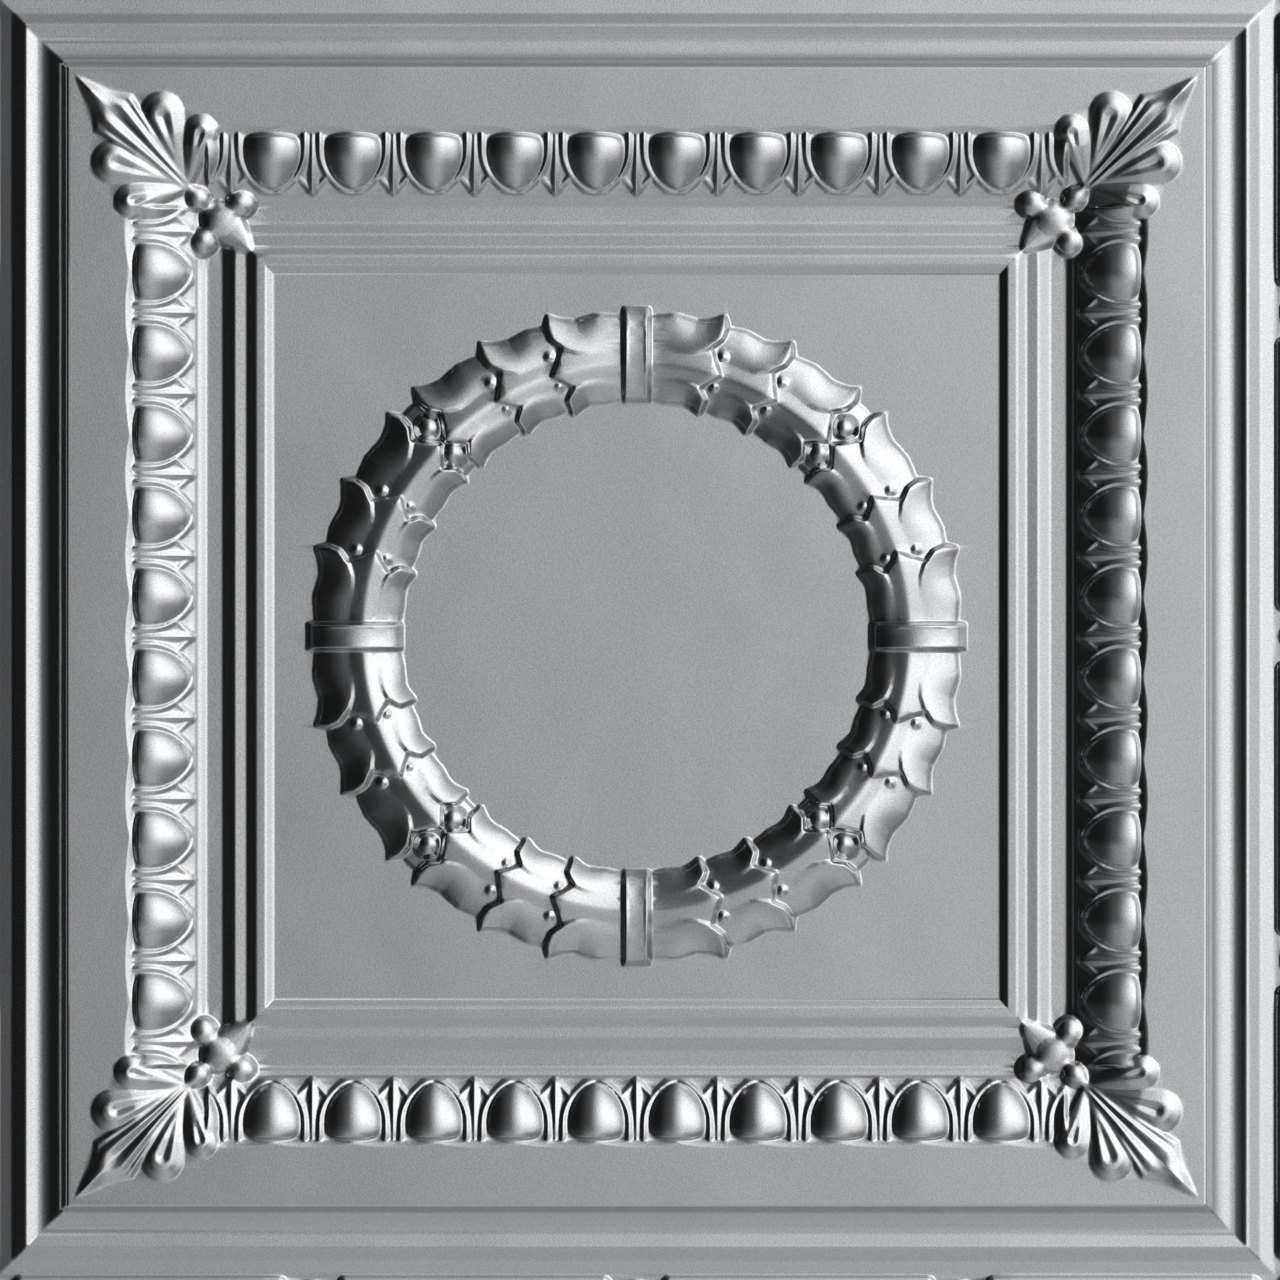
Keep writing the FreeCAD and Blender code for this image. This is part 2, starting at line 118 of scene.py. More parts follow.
# Egg-and-dart band; inward distances start at the band's outer edge
EGGS_PER_SIDE = 10
EGG_PITCH = 38.03
BAND_OVERRUN = 0.3          # the band ends this share of a pitch past its last dart
EGG_HALF_WIDTH = 13.0
EGG_HEIGHT = 5.0
EGG_WIDEST = 8.1
EGG_TOP = 13.0
EGG_LENGTH = 26.5
EGG_BLUNT_POWER = 3         # squareness of the blunt end in the plan, 2 would be round
EGG_BLUNT_ROOT = 0.33
EGG_ROUNDNESS = 0.7         # across: 0.5 is an ellipse, 1 a parabola
EGG_BLUNT_DROP = 0.25       # share of its height lost from the top to the blunt end
EGG_POINT_DROP = 0.65       # and to the pointed end
EGG_EDGE = 2.0              # length of the rounding at the blunt end
EGG_EDGE_ROUNDNESS = 0.6    # 1 would be a straight slope
RIM_OFFSET = 2.5
RIM_TIP = 28.4
RIM_FULLNESS = 0.68         # 0.5 is an ellipse, more draws the rim to a point
RIM_HALF_WIDTH = 1.5
RIM_HEIGHT = 1.1
RIM_SLOPE_STEP = 0.1        # the rim's slant is measured over this length to both sides
SHAFT_START = 3.0
SHAFT_END = 26.5
SHAFT_NECK_HALF_WIDTH = 0.5
SHAFT_HALF_WIDTH = 3.1
SHAFT_NECK_SHARE = 0.35     # height at the shaft's start as a share of that at its end
SHAFT_HEIGHT = 1.6
FADE_LENGTH = 1.3           # rims and shafts die out over this length to both sides of the band's edge
HEAD_TIP = 28.3
HEAD_BARB = 20.6
HEAD_HALF_WIDTH = 6.75
HEAD_RIDGE_HALF_WIDTH = 1.5
HEAD_RIDGE_HEIGHT = 0.8

# Wreath: radii in the plan, heights above the field, angles in degrees from a strap
ROW_ANGLES = (15.5, 28.1, 42.0)
CREASE_RADIUS = 128.3
OUTER_SEAM_RADIUS = 134.4   # a side leaf laps over the centre leaf along this circle
INNER_SEAM_RADIUS = 122.0
LEAF_LAP = 0.3              # and starts this far over the seam
CENTRE_OUTER_RADIUS = OUTER_SEAM_RADIUS + 5.0   # the centre leaf runs on to here under the side leaves
CENTRE_INNER_RADIUS = INNER_SEAM_RADIUS - 3.0
CREASE_HEIGHT = 8.8
CREASE_SOFTNESS = 0.25      # rounding of the crease as a share of the centre leaf's half width
CENTRE_SEAM_HEIGHT = 7.4
SIDE_BULGE = 1.3
SIDE_LIFT = 1.7             # a side leaf stands this far above the centre leaf at its end
LEAF_EDGE_HEIGHT = 1.8
ROOT_DROP = 2.6             # a row comes out this far below the tips of the row behind it
POCKET_START = ROW_ANGLES[-1] - 6.0
POCKET_HEIGHT = 5.0
POCKET_HALF_WIDTH = 28.0
BERRY_ANGLE = 45.0
BERRY_RADII = (138.9, 120.6)    # places of the berries
BERRY_RADIUS = 6.2
BERRY_HEIGHT = 4.2
BERRY_ROUNDNESS = 0.7       # 0.5 is an ellipse, 1 a parabola
SMALL_BEADS = ((137.4, 2.7), (122.3, 2.2))      # place and half width
SMALL_BEAD_LEAD = 1.7
SMALL_BEAD_HEIGHT = 1.4
STRAP_HALF_WIDTH = 6.0
STRAP_INNER_RADIUS = 110.0
STRAP_OUTER_RADIUS = 154.4
STRAP_HEIGHT = 9.8
STRAP_RIM_WIDTH = 1.7
STRAP_RIM_HEIGHT = 0.7

# Leaf ends as (radius, lead) points; a lead is an angle past the row's own angle
OUTER_LEAF_END = (
    (134.2, -14.0), (134.7, -6.0), (135.5, -3.7), (139.3, -1.1), (144.9, 0.8), (151.2, 1.1), (156.6, 0.0),
)
INNER_LEAF_END = (
    (108.1, 0.6), (115.4, 1.1), (120.2, -1.2), (121.5, -3.6), (122.0, -6.0), (122.3, -14.0),
)
CENTRE_LEAF_END = (
    (120.0, -1.2), (124.0, 0.6), (CREASE_RADIUS, 2.6), (133.0, 1.0), (137.0, 0.0), (140.0, -0.8),
)

# Wavy sides of the leaves as (lead, radius) points, flicked out to the tip
OUTER_LEAF_EDGE = ((-12.5, 150.6), (-8.4, 152.2), (-4.7, 150.8), (-2.7, 152.0), (-1.0, 154.3), (0.0, 156.6))
INNER_LEAF_EDGE = ((-12.5, 111.4), (-8.0, 110.4), (-4.0, 111.2), (-2.0, 110.2), (0.0, 108.1))
NOTCH_LEAD = -4.7           # the berries' pocket is as wide as the leaves are here

# Corner palmette, measured along the diagonal from its root
PALMETTE_ROOT = 211.2
PALMETTE_ROOT_Z = 7.0
PALMETTE_FOOT_Z = 12.4
LOBES = ((26.6, 46.0, 10.3), (60.0, 34.5, 8.0))     # angle from the diagonal, length, end radius
LOBE_ROOT_RADIUS = 2.0
LOBE_RISE = 3.1
LOBE_KNEE_SHARE = 0.55      # its foot rises steeply up to this share of its length
LOBE_KNEE_DROP = 0.8        # where it is this far below its end
LOBE_SECTION = (            # (distance inside the outline, share of the rise): rim, groove, bulb
    (0.0, 0.0), (1.1, 0.4), (1.7, 0.44), (2.2, 0.4), (5.2, 0.9), (9.0, 1.0),
)
HOLLOW_SHARE = 0.32         # end radius of a lobe's hollow as a share of the lobe's end radius
HOLLOW_GAP_SHARE = 0.8      # gap between the ends of hollow and lobe, as such a share
HOLLOW_ROOT_RADIUS = 0.1
HOLLOW_DEPTH = 1.4
TALL_LEAF_START = -2.0
TALL_LEAF_KNEE = 28.0
TALL_LEAF_KNEE_DROP = 0.6
TALL_LEAF_SHOULDER = 48.4
TALL_LEAF_LENGTH = 74.0
TALL_LEAF_HALF_WIDTH = 12.5
TALL_LEAF_OUTLINE = (       # (distance from the root, half width)
    (0.0, 2.4),
    (TALL_LEAF_SHOULDER * 0.42, 5.4),
    (TALL_LEAF_SHOULDER * 0.85, 10.6),
    (TALL_LEAF_SHOULDER, TALL_LEAF_HALF_WIDTH),
    (TALL_LEAF_SHOULDER + 3.6, 9.4),
    (TALL_LEAF_SHOULDER + 10.4, 5.7),
    (TALL_LEAF_SHOULDER + 17.6, 2.9),
    (TALL_LEAF_LENGTH, 0.0),
)
TALL_LEAF_RISE = 3.2
TALL_LEAF_RIBS = (          # (share of the half width, share of the rise): two ribs and a rim each side
    (0.0, 0.40), (0.36, 1.0), (0.46, 1.0), (0.68, 0.50), (0.80, 0.75), (0.88, 0.72), (1.0, 0.1),
)
TALL_LEAF_RIB_END = TALL_LEAF_SHOULDER - 6.0    # from here the ribs run together
TALL_LEAF_ROOF_START = TALL_LEAF_SHOULDER + 8.0     # into a plain roof, reached here
TALL_LEAF_ROOF_FALL = 0.9   # share of the rise that the roof falls to its edge
TALL_LEAF_FLAT_HALF_WIDTH = 4.0     # the rise dies out where the leaf is narrower than this

# Small fleur inside the palmette's root, measured along the diagonal from its centre.
# A part's heights are its foot and its rise above that.
FLEUR_CENTRE = 196.5
FLEUR_TIP = 180.3
FLEUR_REACH = (FLEUR_CENTRE - FLEUR_TIP) / COS_45
FLEUR_LEAF_START = -4.0     # the leaf is measured inwards: (distance, half width)
FLEUR_LEAF_OUTLINE = (
    (FLEUR_LEAF_START, 5.0), (3.0, 7.2), (9.0, 8.0), (0.75 * FLEUR_REACH, 4.6), (FLEUR_REACH, 0.0),
)
FLEUR_LEAF_HEIGHTS = (4.2, 1.9)
FLEUR_NECK_OUTLINE = ((0.0, 5.2), (6.0, 3.6), (15.0, 4.6))      # measured to the side
FLEUR_NECK_END = 13.0
FLEUR_NECK_INWARD = 1.5     # the neck lies this far inward of the centre
FLEUR_NECK_HEIGHTS = (3.0, 3.0)
FLEUR_STEM_START = -2.0
FLEUR_STEM_END = 22.0
FLEUR_STEM_OUTLINE = ((FLEUR_STEM_START, 4.6), (6.0, 3.4), (26.0, 3.0))     # measured outwards
FLEUR_STEM_FOOT = ((0.0, 2.0), (20.0, 6.5))
FLEUR_STEM_RISE = 2.2
FLEUR_LOBE = (203.8, 185.6)
FLEUR_LOBE_RADIUS = 7.2
FLEUR_LOBE_HEIGHTS = (3.0, 4.4)
FLEUR_KNOB = 206.0
FLEUR_KNOB_RADIUS = 6.0
FLEUR_KNOB_HEIGHTS = (5.4, 3.6)
FLEUR_BODY_RADIUS = 8.6
FLEUR_BODY_HEIGHTS = (3.4, 3.2)
FLEUR_FILLET = 2.6
ROUND_BACK = 0.5            # across, a part's back is an ellipse
FLAT_BACK = 0.3             # or flatter than that
LEAST_HALF_WIDTH = 0.1      # keeps a division by a leaf's or part's half width off zero

# Tinplate: noise as features per metre, bump depth in millimetres
NOISE_DETAIL = 1.0
GRAIN_SCALE = 1300.0
GRAIN_DEPTH = 0.02
GRAIN_SPAN = (0.3, 0.7)     # stretch of the noise that takes the colour from dark to light
GRAIN_DARK = (0.545, 0.555, 0.565, 1.0)
GRAIN_LIGHT = (0.665, 0.675, 0.685, 1.0)
WAVE_SCALE = 14.0           # slow waviness of the thin sheet
WAVE_DEPTH = 0.35
ROUGHNESS = (0.13, 0.21)

# Camera and floor; heights and the floor's size in metres
PHOTO_WIDTH = 600.2         # width of the photographed area
VIEW_OFFSET = 1.64          # the photo's centre lies this far right of and below the tile's centre
CAMERA_HEIGHT = 5.0
SENSOR_WIDTH = 36.0
FLOOR_SIZE = 8.0
FLOOR_COLOUR = (0.72, 0.71, 0.69, 1.0)
FLOOR_ROUGHNESS = 0.8

# Light of the dome as washes: axis, where along it the wash starts and ends, level at both ends.
# The washes of one light multiply. The main light fills the right of the dome and is shaded off
# towards the front and the horizon; a weak fill, stronger in front, leaves only the left dark.
MAIN_LIGHT = (
    ((1, 0, 0), -0.22, 0.38, 0.0, 1.7),
    ((0, 1, 0), -0.5, 0.25, 0.08, 1.0),
    ((0, 0, 1), 0.0, 0.85, 0.3, 1.0),
)
FILL_LIGHT = (
    ((1, 0, 0), -0.7, 0.1, 0.012, 0.16),
    ((1, 0, 0), 0.1, 0.5, 1.0, 0.45),
    ((0, -1, 0), 0.0, 0.4, 1.0, 3.0),
)
LIGHT_COLOUR = (0.98, 0.99, 1.0, 1.0)
BACKDROP = 0.9


def ramp(value, start, end):
    """0 before start, 1 after end, straight between."""
    return np.clip((value - start) / (end - start), 0.0, 1.0)


def mound(offset, half_width):
    """Rounded ridge of unit height over an offset from its line."""
    return np.clip(1.0 - (offset / half_width) ** 2, 0.0, None)


def between(place, points):
    """Value at a place, read off straight lines through (place, value) points."""
    places, values = zip(*points)
    return np.interp(place, places, values)


def from_nearest(along, pitch):
    """Distance from the nearest of the marks that repeat at this pitch, one of them at zero."""
    return np.abs((along + pitch / 2) % pitch - pitch / 2)


def off_diagonal(x, y, root):
    """Distance out along the diagonal from a root on it, and distance to the diagonal's side."""
    return (x + y - 2 * root) * COS_45, np.abs(x - y) * COS_45


def level_arc_radius(width, drop):
    """Radius of an arc over this width and drop that is level at one end."""
    return (width ** 2 + drop ** 2) / (2 * drop)


def arc_points(start, end, radius):
    """Points on a hollow or round arc between two profile points; a negative radius is round."""
    (x0, z0), (x1, z1) = start, end
    chord = math.hypot(x1 - x0, z1 - z0)
    to_middle = math.sqrt(radius ** 2 - (chord / 2) ** 2) * math.copysign(1, radius)
    middle_x = (x0 + x1) / 2 - (z1 - z0) / chord * to_middle
    middle_z = (z0 + z1) / 2 + (x1 - x0) / chord * to_middle
    first = math.atan2(z0 - middle_z, x0 - middle_x)
    last = math.atan2(z1 - middle_z, x1 - middle_x)
    turn = (last - first + math.pi) % (2 * math.pi) - math.pi
    angles = [first + turn * step / ARC_STEPS for step in range(1, ARC_STEPS)]
    return [(middle_x + abs(radius) * math.cos(a), middle_z + abs(radius) * math.sin(a)) for a in angles]


def moulding_profile():
    """Profile of the sheet from the field out to the rim, as (distance, height) points."""
    band_foot = (BAND_IN_AT, BAND_FOOT_Z)
    band_top = (BAND_OUT_AT, BAND_Z)
    frame_edge = (FRAME_OUT_AT, FRAME_Z)
    scotia_foot = (SCOTIA_AT, SCOTIA_Z)
    crest = (CREST_IN_AT, CREST_Z)
    band_radius = level_arc_radius(BAND_OUT_AT - BAND_IN_AT, BAND_Z - BAND_FOOT_Z)
    scotia_radius = level_arc_radius(SCOTIA_AT - FRAME_OUT_AT, FRAME_Z - SCOTIA_Z)
    return [
        (0, FIELD_Z),
        (FIELD_AT, FIELD_Z),
        (HIGH_IN_AT, HIGH_FILLET_Z),
        (HIGH_OUT_AT, HIGH_FILLET_Z),
        (LOW_IN_AT, LOW_FILLET_Z - LOW_FILLET_TILT),
        (LOW_OUT_AT, LOW_FILLET_Z),
        (GUTTER_IN_AT, GUTTER_Z),
        (GUTTER_OUT_AT, GUTTER_Z),
        band_foot,
        *arc_points(band_foot, band_top, -band_radius),
        band_top,
        (BAND_OUT_AT + PLAIN_STEP_WIDTH, FRAME_Z),
        frame_edge,
        *arc_points(frame_edge, scotia_foot, scotia_radius),
        scotia_foot,
        *arc_points(scotia_foot, crest, scotia_radius),
        crest,
        (CREST_OUT_AT, CREST_Z),
        (FLANGE_AT, FLANGE_Z),
        (RIM_AT, SHEET),
        (HALF + PAST_EDGE, SHEET),
    ]


def profile_height(distance):
    """Height of the plain moulding at a distance."""
    return between(distance, moulding_profile())


def moulded(distance, along):
    """Frame, band, steps and field, with the frame's inner edge scalloped round the eggs."""
    bow = 1 - (2 * from_nearest(along, EGG_PITCH) / EGG_PITCH) ** 2
    edge = FRAME_IN_AT + SCALLOP_DEPTH * bow
    foot = edge - EGG_STEP_WIDTH - (DART_STEP_WIDTH - EGG_STEP_WIDTH) * bow
    step = BAND_Z + (FRAME_Z - BAND_Z) * ramp(distance, foot, edge)
    height = np.minimum(profile_height(distance), step)
    groove = mound(distance - foot, SCALLOP_GROOVE_HALF_WIDTH) * bow
    lip = mound(distance - LIP_AT, LIP_HALF_WIDTH)
    return height - SCALLOP_GROOVE_DEPTH * groove - LIP_DEPTH * lip


def nail_bead(distance, along):
    """Height of the half-round bead with a lens-shaped button in each gap."""
    off_line = distance - MODULE / 2
    from_nail = from_nearest(along, MODULE / NAIL_SPACES)
    past_end = np.clip(NAIL_GAP / 2 + BEAD_HALF_WIDTH - from_nail, 0, None)
    bead = BEAD_HEIGHT * np.sqrt(mound(np.hypot(off_line, past_end), BEAD_HALF_WIDTH))
    off_button = np.hypot(off_line / BUTTON_HALF_WIDTH, from_nail / BUTTON_HALF_LENGTH)
    return np.maximum(bead, BUTTON_HEIGHT * mound(off_button, 1.0))


def egg_width(inward):
    """Half width of an egg: blunt towards the frame, drawn to a soft point inwards."""
    blunt = np.clip((EGG_WIDEST - inward) / EGG_WIDEST, 0, 1)
    point = np.clip((inward - EGG_WIDEST) / (EGG_LENGTH - EGG_WIDEST), 0, 1)
    return EGG_HALF_WIDTH * (1 - blunt ** EGG_BLUNT_POWER) ** EGG_BLUNT_ROOT * np.sqrt(1 - point ** 2)


def egg(inward, from_egg):
    """Height of an egg over the band."""
    width = np.maximum(egg_width(inward), TINY)
    to_end = np.where(inward < EGG_TOP, EGG_TOP, EGG_LENGTH - EGG_TOP)
    drop = np.where(inward < EGG_TOP, EGG_BLUNT_DROP, EGG_POINT_DROP)
    edge = ramp(inward, 0, EGG_EDGE) ** EGG_EDGE_ROUNDNESS
    along_share = (1 - drop * ((inward - EGG_TOP) / to_end) ** 2) * edge
    return EGG_HEIGHT * along_share * mound(from_egg, width) ** EGG_ROUNDNESS


def rim_width(inward):
    """Half width of the raised line round an egg, open towards the frame."""
    point = np.clip((inward - EGG_WIDEST) / (RIM_TIP - EGG_WIDEST), 0, 1)
    return (EGG_HALF_WIDTH + RIM_OFFSET) * (1 - point ** 2) ** RIM_FULLNESS


def egg_rim(inward, from_egg):
    """Height of the raised line round an egg over the band."""
    change = rim_width(inward + RIM_SLOPE_STEP) - rim_width(inward - RIM_SLOPE_STEP)
    slope = change / (2 * RIM_SLOPE_STEP)
    from_rim = (from_egg - rim_width(inward)) / np.sqrt(1 + slope ** 2)
    return RIM_HEIGHT * mound(from_rim, RIM_HALF_WIDTH) * (inward < RIM_TIP)


def dart_shaft(inward, from_dart):
    """Height of a dart's ridged shaft over the band; it widens and rises inwards."""
    spread = ramp(inward, SHAFT_START, SHAFT_END)
    half_width = SHAFT_NECK_HALF_WIDTH + (SHAFT_HALF_WIDTH - SHAFT_NECK_HALF_WIDTH) * spread
    height = SHAFT_HEIGHT * (SHAFT_NECK_SHARE + (1 - SHAFT_NECK_SHARE) * spread)
    return height * np.clip(1 - from_dart / half_width, 0, None) * (inward < HEAD_TIP)


def dart_head(inward, from_dart):
    """Height of the ridges along both arms of a dart's head over the band."""
    length = HEAD_TIP - HEAD_BARB
    arm = math.hypot(length, HEAD_HALF_WIDTH)
    along_arm = ((HEAD_TIP - inward) * length + from_dart * HEAD_HALF_WIDTH) / arm
    off_arm = ((HEAD_TIP - inward) * HEAD_HALF_WIDTH - from_dart * length) / arm
    past_arm = np.clip(along_arm - arm, 0, None) + np.clip(-along_arm, 0, None)
    return HEAD_RIDGE_HEIGHT * mound(np.hypot(off_arm, past_arm), HEAD_RIDGE_HALF_WIDTH)


def egg_and_dart(distance, along):
    """Eggs, rims and darts on the band, as absolute heights of the face."""
    inward = BAND_OUT_AT - distance
    from_dart = from_nearest(along, EGG_PITCH)
    from_egg = EGG_PITCH / 2 - from_dart
    fade = ramp(inward, -FADE_LENGTH, FADE_LENGTH)
    fading = np.maximum(egg_rim(inward, from_egg), dart_shaft(inward, from_dart)) * fade
    height = np.maximum.reduce([egg(inward, from_egg), fading, dart_head(inward, from_dart)])
    on_band = (inward > -DART_STEP_WIDTH) & (along < EGG_PITCH * (EGGS_PER_SIDE / 2 + BAND_OVERRUN))
    band = profile_height(np.minimum(distance, BAND_OUT_AT))
    return np.where(on_band & (height > 0), band + height, -FAR_BELOW)


def side_leaf(radius, seam, edge, grown):
    """Height across a side leaf from its seam to its far edge; grown is its share of length so far."""
    share = np.clip((radius - seam) / (edge - seam), 0, 1)
    top = CENTRE_SEAM_HEIGHT + SIDE_LIFT * grown ** 2
    height = top + (LEAF_EDGE_HEIGHT - top) * share + SIDE_BULGE * np.sin(math.pi * share)
    return height * (1 - ROOT_DROP / CENTRE_SEAM_HEIGHT * (1 - grown))


def centre_leaf(radius, grown):
    """Height across a centre leaf, creased along its middle."""
    off_crease = (radius - CREASE_RADIUS) / (OUTER_SEAM_RADIUS - CREASE_RADIUS)
    off_crease = np.hypot(off_crease, CREASE_SOFTNESS) - CREASE_SOFTNESS
    height = CREASE_HEIGHT - (CREASE_HEIGHT - CENTRE_SEAM_HEIGHT) * off_crease
    return height - ROOT_DROP * (1 - grown)


def leaf_row(height, radius, lead, length):
    """A row of three leaves laid over the heights so far; lead is the angle past the row's own angle."""
    grown = np.clip(1 + lead / length, 0, 1)
    on_centre = (radius > CENTRE_INNER_RADIUS) & (radius < CENTRE_OUTER_RADIUS)
    on_centre &= lead < between(radius, CENTRE_LEAF_END)
    height = np.where(on_centre, centre_leaf(radius, grown), height)

    inner_edge = between(lead, INNER_LEAF_EDGE)
    on_inner = (radius < INNER_SEAM_RADIUS + LEAF_LAP) & (radius > inner_edge)
    on_inner &= lead < between(radius, INNER_LEAF_END)
    height = np.where(on_inner, side_leaf(radius, INNER_SEAM_RADIUS, inner_edge, grown), height)

    outer_edge = between(lead, OUTER_LEAF_EDGE)
    on_outer = (radius > OUTER_SEAM_RADIUS - LEAF_LAP) & (radius < outer_edge)
    on_outer &= lead < between(radius, OUTER_LEAF_END)
    return np.where(on_outer, side_leaf(radius, OUTER_SEAM_RADIUS, outer_edge, grown), height)


def off_spot(x, y, centre_radius, angle):
    """Distance in the plan from a polar spot."""
    turn = math.radians(angle)
    return np.hypot(x - centre_radius * math.cos(turn), y - centre_radius * math.sin(turn))


def wreath(x, y):
    """Height of the wreath over the field: leaf rows, small beads, berries and strap."""
    radius = np.hypot(x, y)
    angle = np.degrees(np.arctan2(y, x))
    ring_inside = between(NOTCH_LEAD, INNER_LEAF_EDGE)
    ring_outside = between(NOTCH_LEAD, OUTER_LEAF_EDGE)
    in_ring = (radius > ring_inside) & (radius < ring_outside)
    pocket = POCKET_HEIGHT * np.clip(1 - np.abs(radius - CREASE_RADIUS) / POCKET_HALF_WIDTH, 0, 1)
    height = np.where(in_ring & (angle > POCKET_START), pocket, 0)
    starts = (0.0, *ROW_ANGLES[:-1])
    for start, row_angle in reversed(list(zip(starts, ROW_ANGLES))):
        height = leaf_row(height, radius, angle - row_angle, row_angle - start)
    for row_angle in ROW_ANGLES[:-1]:
        for bead_radius, half_width in SMALL_BEADS:
            off_bead = off_spot(x, y, bead_radius, row_angle + SMALL_BEAD_LEAD)
            height = height + SMALL_BEAD_HEIGHT * mound(off_bead, half_width)
    for berry_radius in BERRY_RADII:
        off_berry = off_spot(x, y, berry_radius, BERRY_ANGLE)
        berry = BERRY_HEIGHT * mound(off_berry, BERRY_RADIUS) ** BERRY_ROUNDNESS
        height = np.where(berry > 0, np.maximum(height, pocket + berry), height)
    return np.maximum(height, strap(x, y))


def strap(x, y):
    """Arched strap on the centre line with a thin raised rim along both edges."""
    middle = (STRAP_OUTER_RADIUS + STRAP_INNER_RADIUS) / 2
    half_length = (STRAP_OUTER_RADIUS - STRAP_INNER_RADIUS) / 2
    arch = STRAP_HEIGHT * np.sqrt(mound(x - middle, half_length))
    rim = STRAP_RIM_HEIGHT * mound(y - STRAP_HALF_WIDTH + STRAP_RIM_WIDTH / 2, STRAP_RIM_WIDTH / 2)
    inside = (y < STRAP_HALF_WIDTH) & (arch > 0)
    return np.where(inside, arch + rim, 0)


def teardrop(along, across, small, large, length):
    """Depth inside a drop with a small circle at the root and a large one at the end; negative outside."""
    reach = length - large
    lean = (small - large) / reach
    rise = math.sqrt(1 - lean ** 2)
    across = np.abs(across)
    side = -lean * across + rise * along
    beside = across * rise + along * lean - small
    at_root = np.hypot(across, along) - small
    at_end = np.hypot(across, along - reach) - large
    return -np.where(side < 0, at_root, np.where(side > rise * reach, at_end, beside))


def palmette_foot(along, knee, knee_drop, end):
    """Height that a lobe or leaf stands on: steep from the root to a knee, then gentle to the end."""
    points = ((0, PALMETTE_ROOT_Z), (knee, PALMETTE_FOOT_Z - knee_drop), (end, PALMETTE_FOOT_Z))
    return between(along, points)


def lobe(along, across, length, end_radius):
    """Rounded lobe: a thin rim, a fine groove, a bulb and a drop-shaped hollow along its axis."""
    inside = teardrop(along, across, LOBE_ROOT_RADIUS, end_radius, length)
    hollow_radius = end_radius * HOLLOW_SHARE
    hollow_length = length - end_radius * HOLLOW_GAP_SHARE
    hollow = teardrop(along, across, HOLLOW_ROOT_RADIUS, hollow_radius, hollow_length)
    dip = HOLLOW_DEPTH * ramp(hollow, 0, hollow_radius)
    foot = palmette_foot(along, length * LOBE_KNEE_SHARE, LOBE_KNEE_DROP, length)
    return np.where(inside > 0, foot + LOBE_RISE * between(inside, LOBE_SECTION) - dip, -FAR_BELOW)


def tall_leaf(out, side):
    """Pointed leaf on the diagonal: two ribs with a groove between them, run together at the tip."""
    half_width = between(out, TALL_LEAF_OUTLINE)
    share = side / np.maximum(half_width, LEAST_HALF_WIDTH)
    ribbed = between(share, TALL_LEAF_RIBS)
    roof = 1 - TALL_LEAF_ROOF_FALL * share
    rise = ribbed + (roof - ribbed) * ramp(out, TALL_LEAF_RIB_END, TALL_LEAF_ROOF_START)
    taper = ramp(half_width, 0, TALL_LEAF_FLAT_HALF_WIDTH)
    foot = palmette_foot(out, TALL_LEAF_KNEE, TALL_LEAF_KNEE_DROP, TALL_LEAF_LENGTH)
    on_leaf = (side < half_width) & (out > TALL_LEAF_START)
    return np.where(on_leaf, foot + TALL_LEAF_RISE * rise * taper, -FAR_BELOW)


def palmette(x, y):
    """Lobes and tall leaf of the palmette, as absolute heights of the face."""
    out, side = off_diagonal(x, y, PALMETTE_ROOT)
    height = tall_leaf(out, side)
    for angle, length, end_radius in LOBES:
        turn = math.radians(angle)
        along = out * math.cos(turn) + side * math.sin(turn)
        across = -out * math.sin(turn) + side * math.cos(turn)
        height = np.maximum(height, lobe(along, across, length, end_radius))
    return height


def bolster(across, half_width, foot, rise, back=ROUND_BACK):
    """Round-backed relief of this half width, as absolute heights of the face."""
    share = mound(across, np.maximum(half_width, LEAST_HALF_WIDTH)) * (half_width > 0)
    return np.where(share > 0, foot + rise * share ** back, -FAR_BELOW)


def run_together(first, second, reach):
    """The higher of two surfaces, with the corner between them filled over this reach."""
    apart = np.where(np.minimum(first, second) > 0, np.abs(first - second), reach)
    near = np.clip(reach - apart, 0, None) / reach
    return np.maximum(first, second) + near ** 2 * reach / 4


def fleur(x, y):
    """Small fleur: a pointed leaf, a neck, a stem, two round lobes, a knob and a body, run together."""
    out, side = off_diagonal(x, y, FLEUR_CENTRE)
    leaf_half = np.where(-out < FLEUR_LEAF_START, 0, between(-out, FLEUR_LEAF_OUTLINE))
    neck_half = np.where(side > FLEUR_NECK_END, 0, between(side, FLEUR_NECK_OUTLINE))
    past_stem = (out < FLEUR_STEM_START) | (out > FLEUR_STEM_END)
    stem_half = np.where(past_stem, 0, between(out, FLEUR_STEM_OUTLINE))
    off_lobe = np.hypot(x - FLEUR_LOBE[0], y - FLEUR_LOBE[1])
    off_knob = np.hypot(x - FLEUR_KNOB, y - FLEUR_KNOB)
    parts = [
        bolster(side, leaf_half, *FLEUR_LEAF_HEIGHTS, FLAT_BACK),
        bolster(out + FLEUR_NECK_INWARD, neck_half, *FLEUR_NECK_HEIGHTS, FLAT_BACK),
        bolster(side, stem_half, between(out, FLEUR_STEM_FOOT), FLEUR_STEM_RISE),
        bolster(off_lobe, FLEUR_LOBE_RADIUS, *FLEUR_LOBE_HEIGHTS),
        bolster(off_knob, FLEUR_KNOB_RADIUS, *FLEUR_KNOB_HEIGHTS),
        bolster(np.hypot(out, side), FLEUR_BODY_RADIUS, *FLEUR_BODY_HEIGHTS, FLAT_BACK),
    ]
    height = parts[0]
    for part in parts[1:]:
        height = run_together(height, part, FLEUR_FILLET)
    return height


def relief(x, y):
    """Height of the decorated face over a point of the plan."""
    distance = np.maximum(x, y)
    along = np.minimum(x, y)
    height = moulded(distance, along) + nail_bead(distance, along) + wreath(distance, along)
    for ornament in (egg_and_dart, palmette, fleur):
        height = np.maximum(height, ornament(distance, along))
    return height


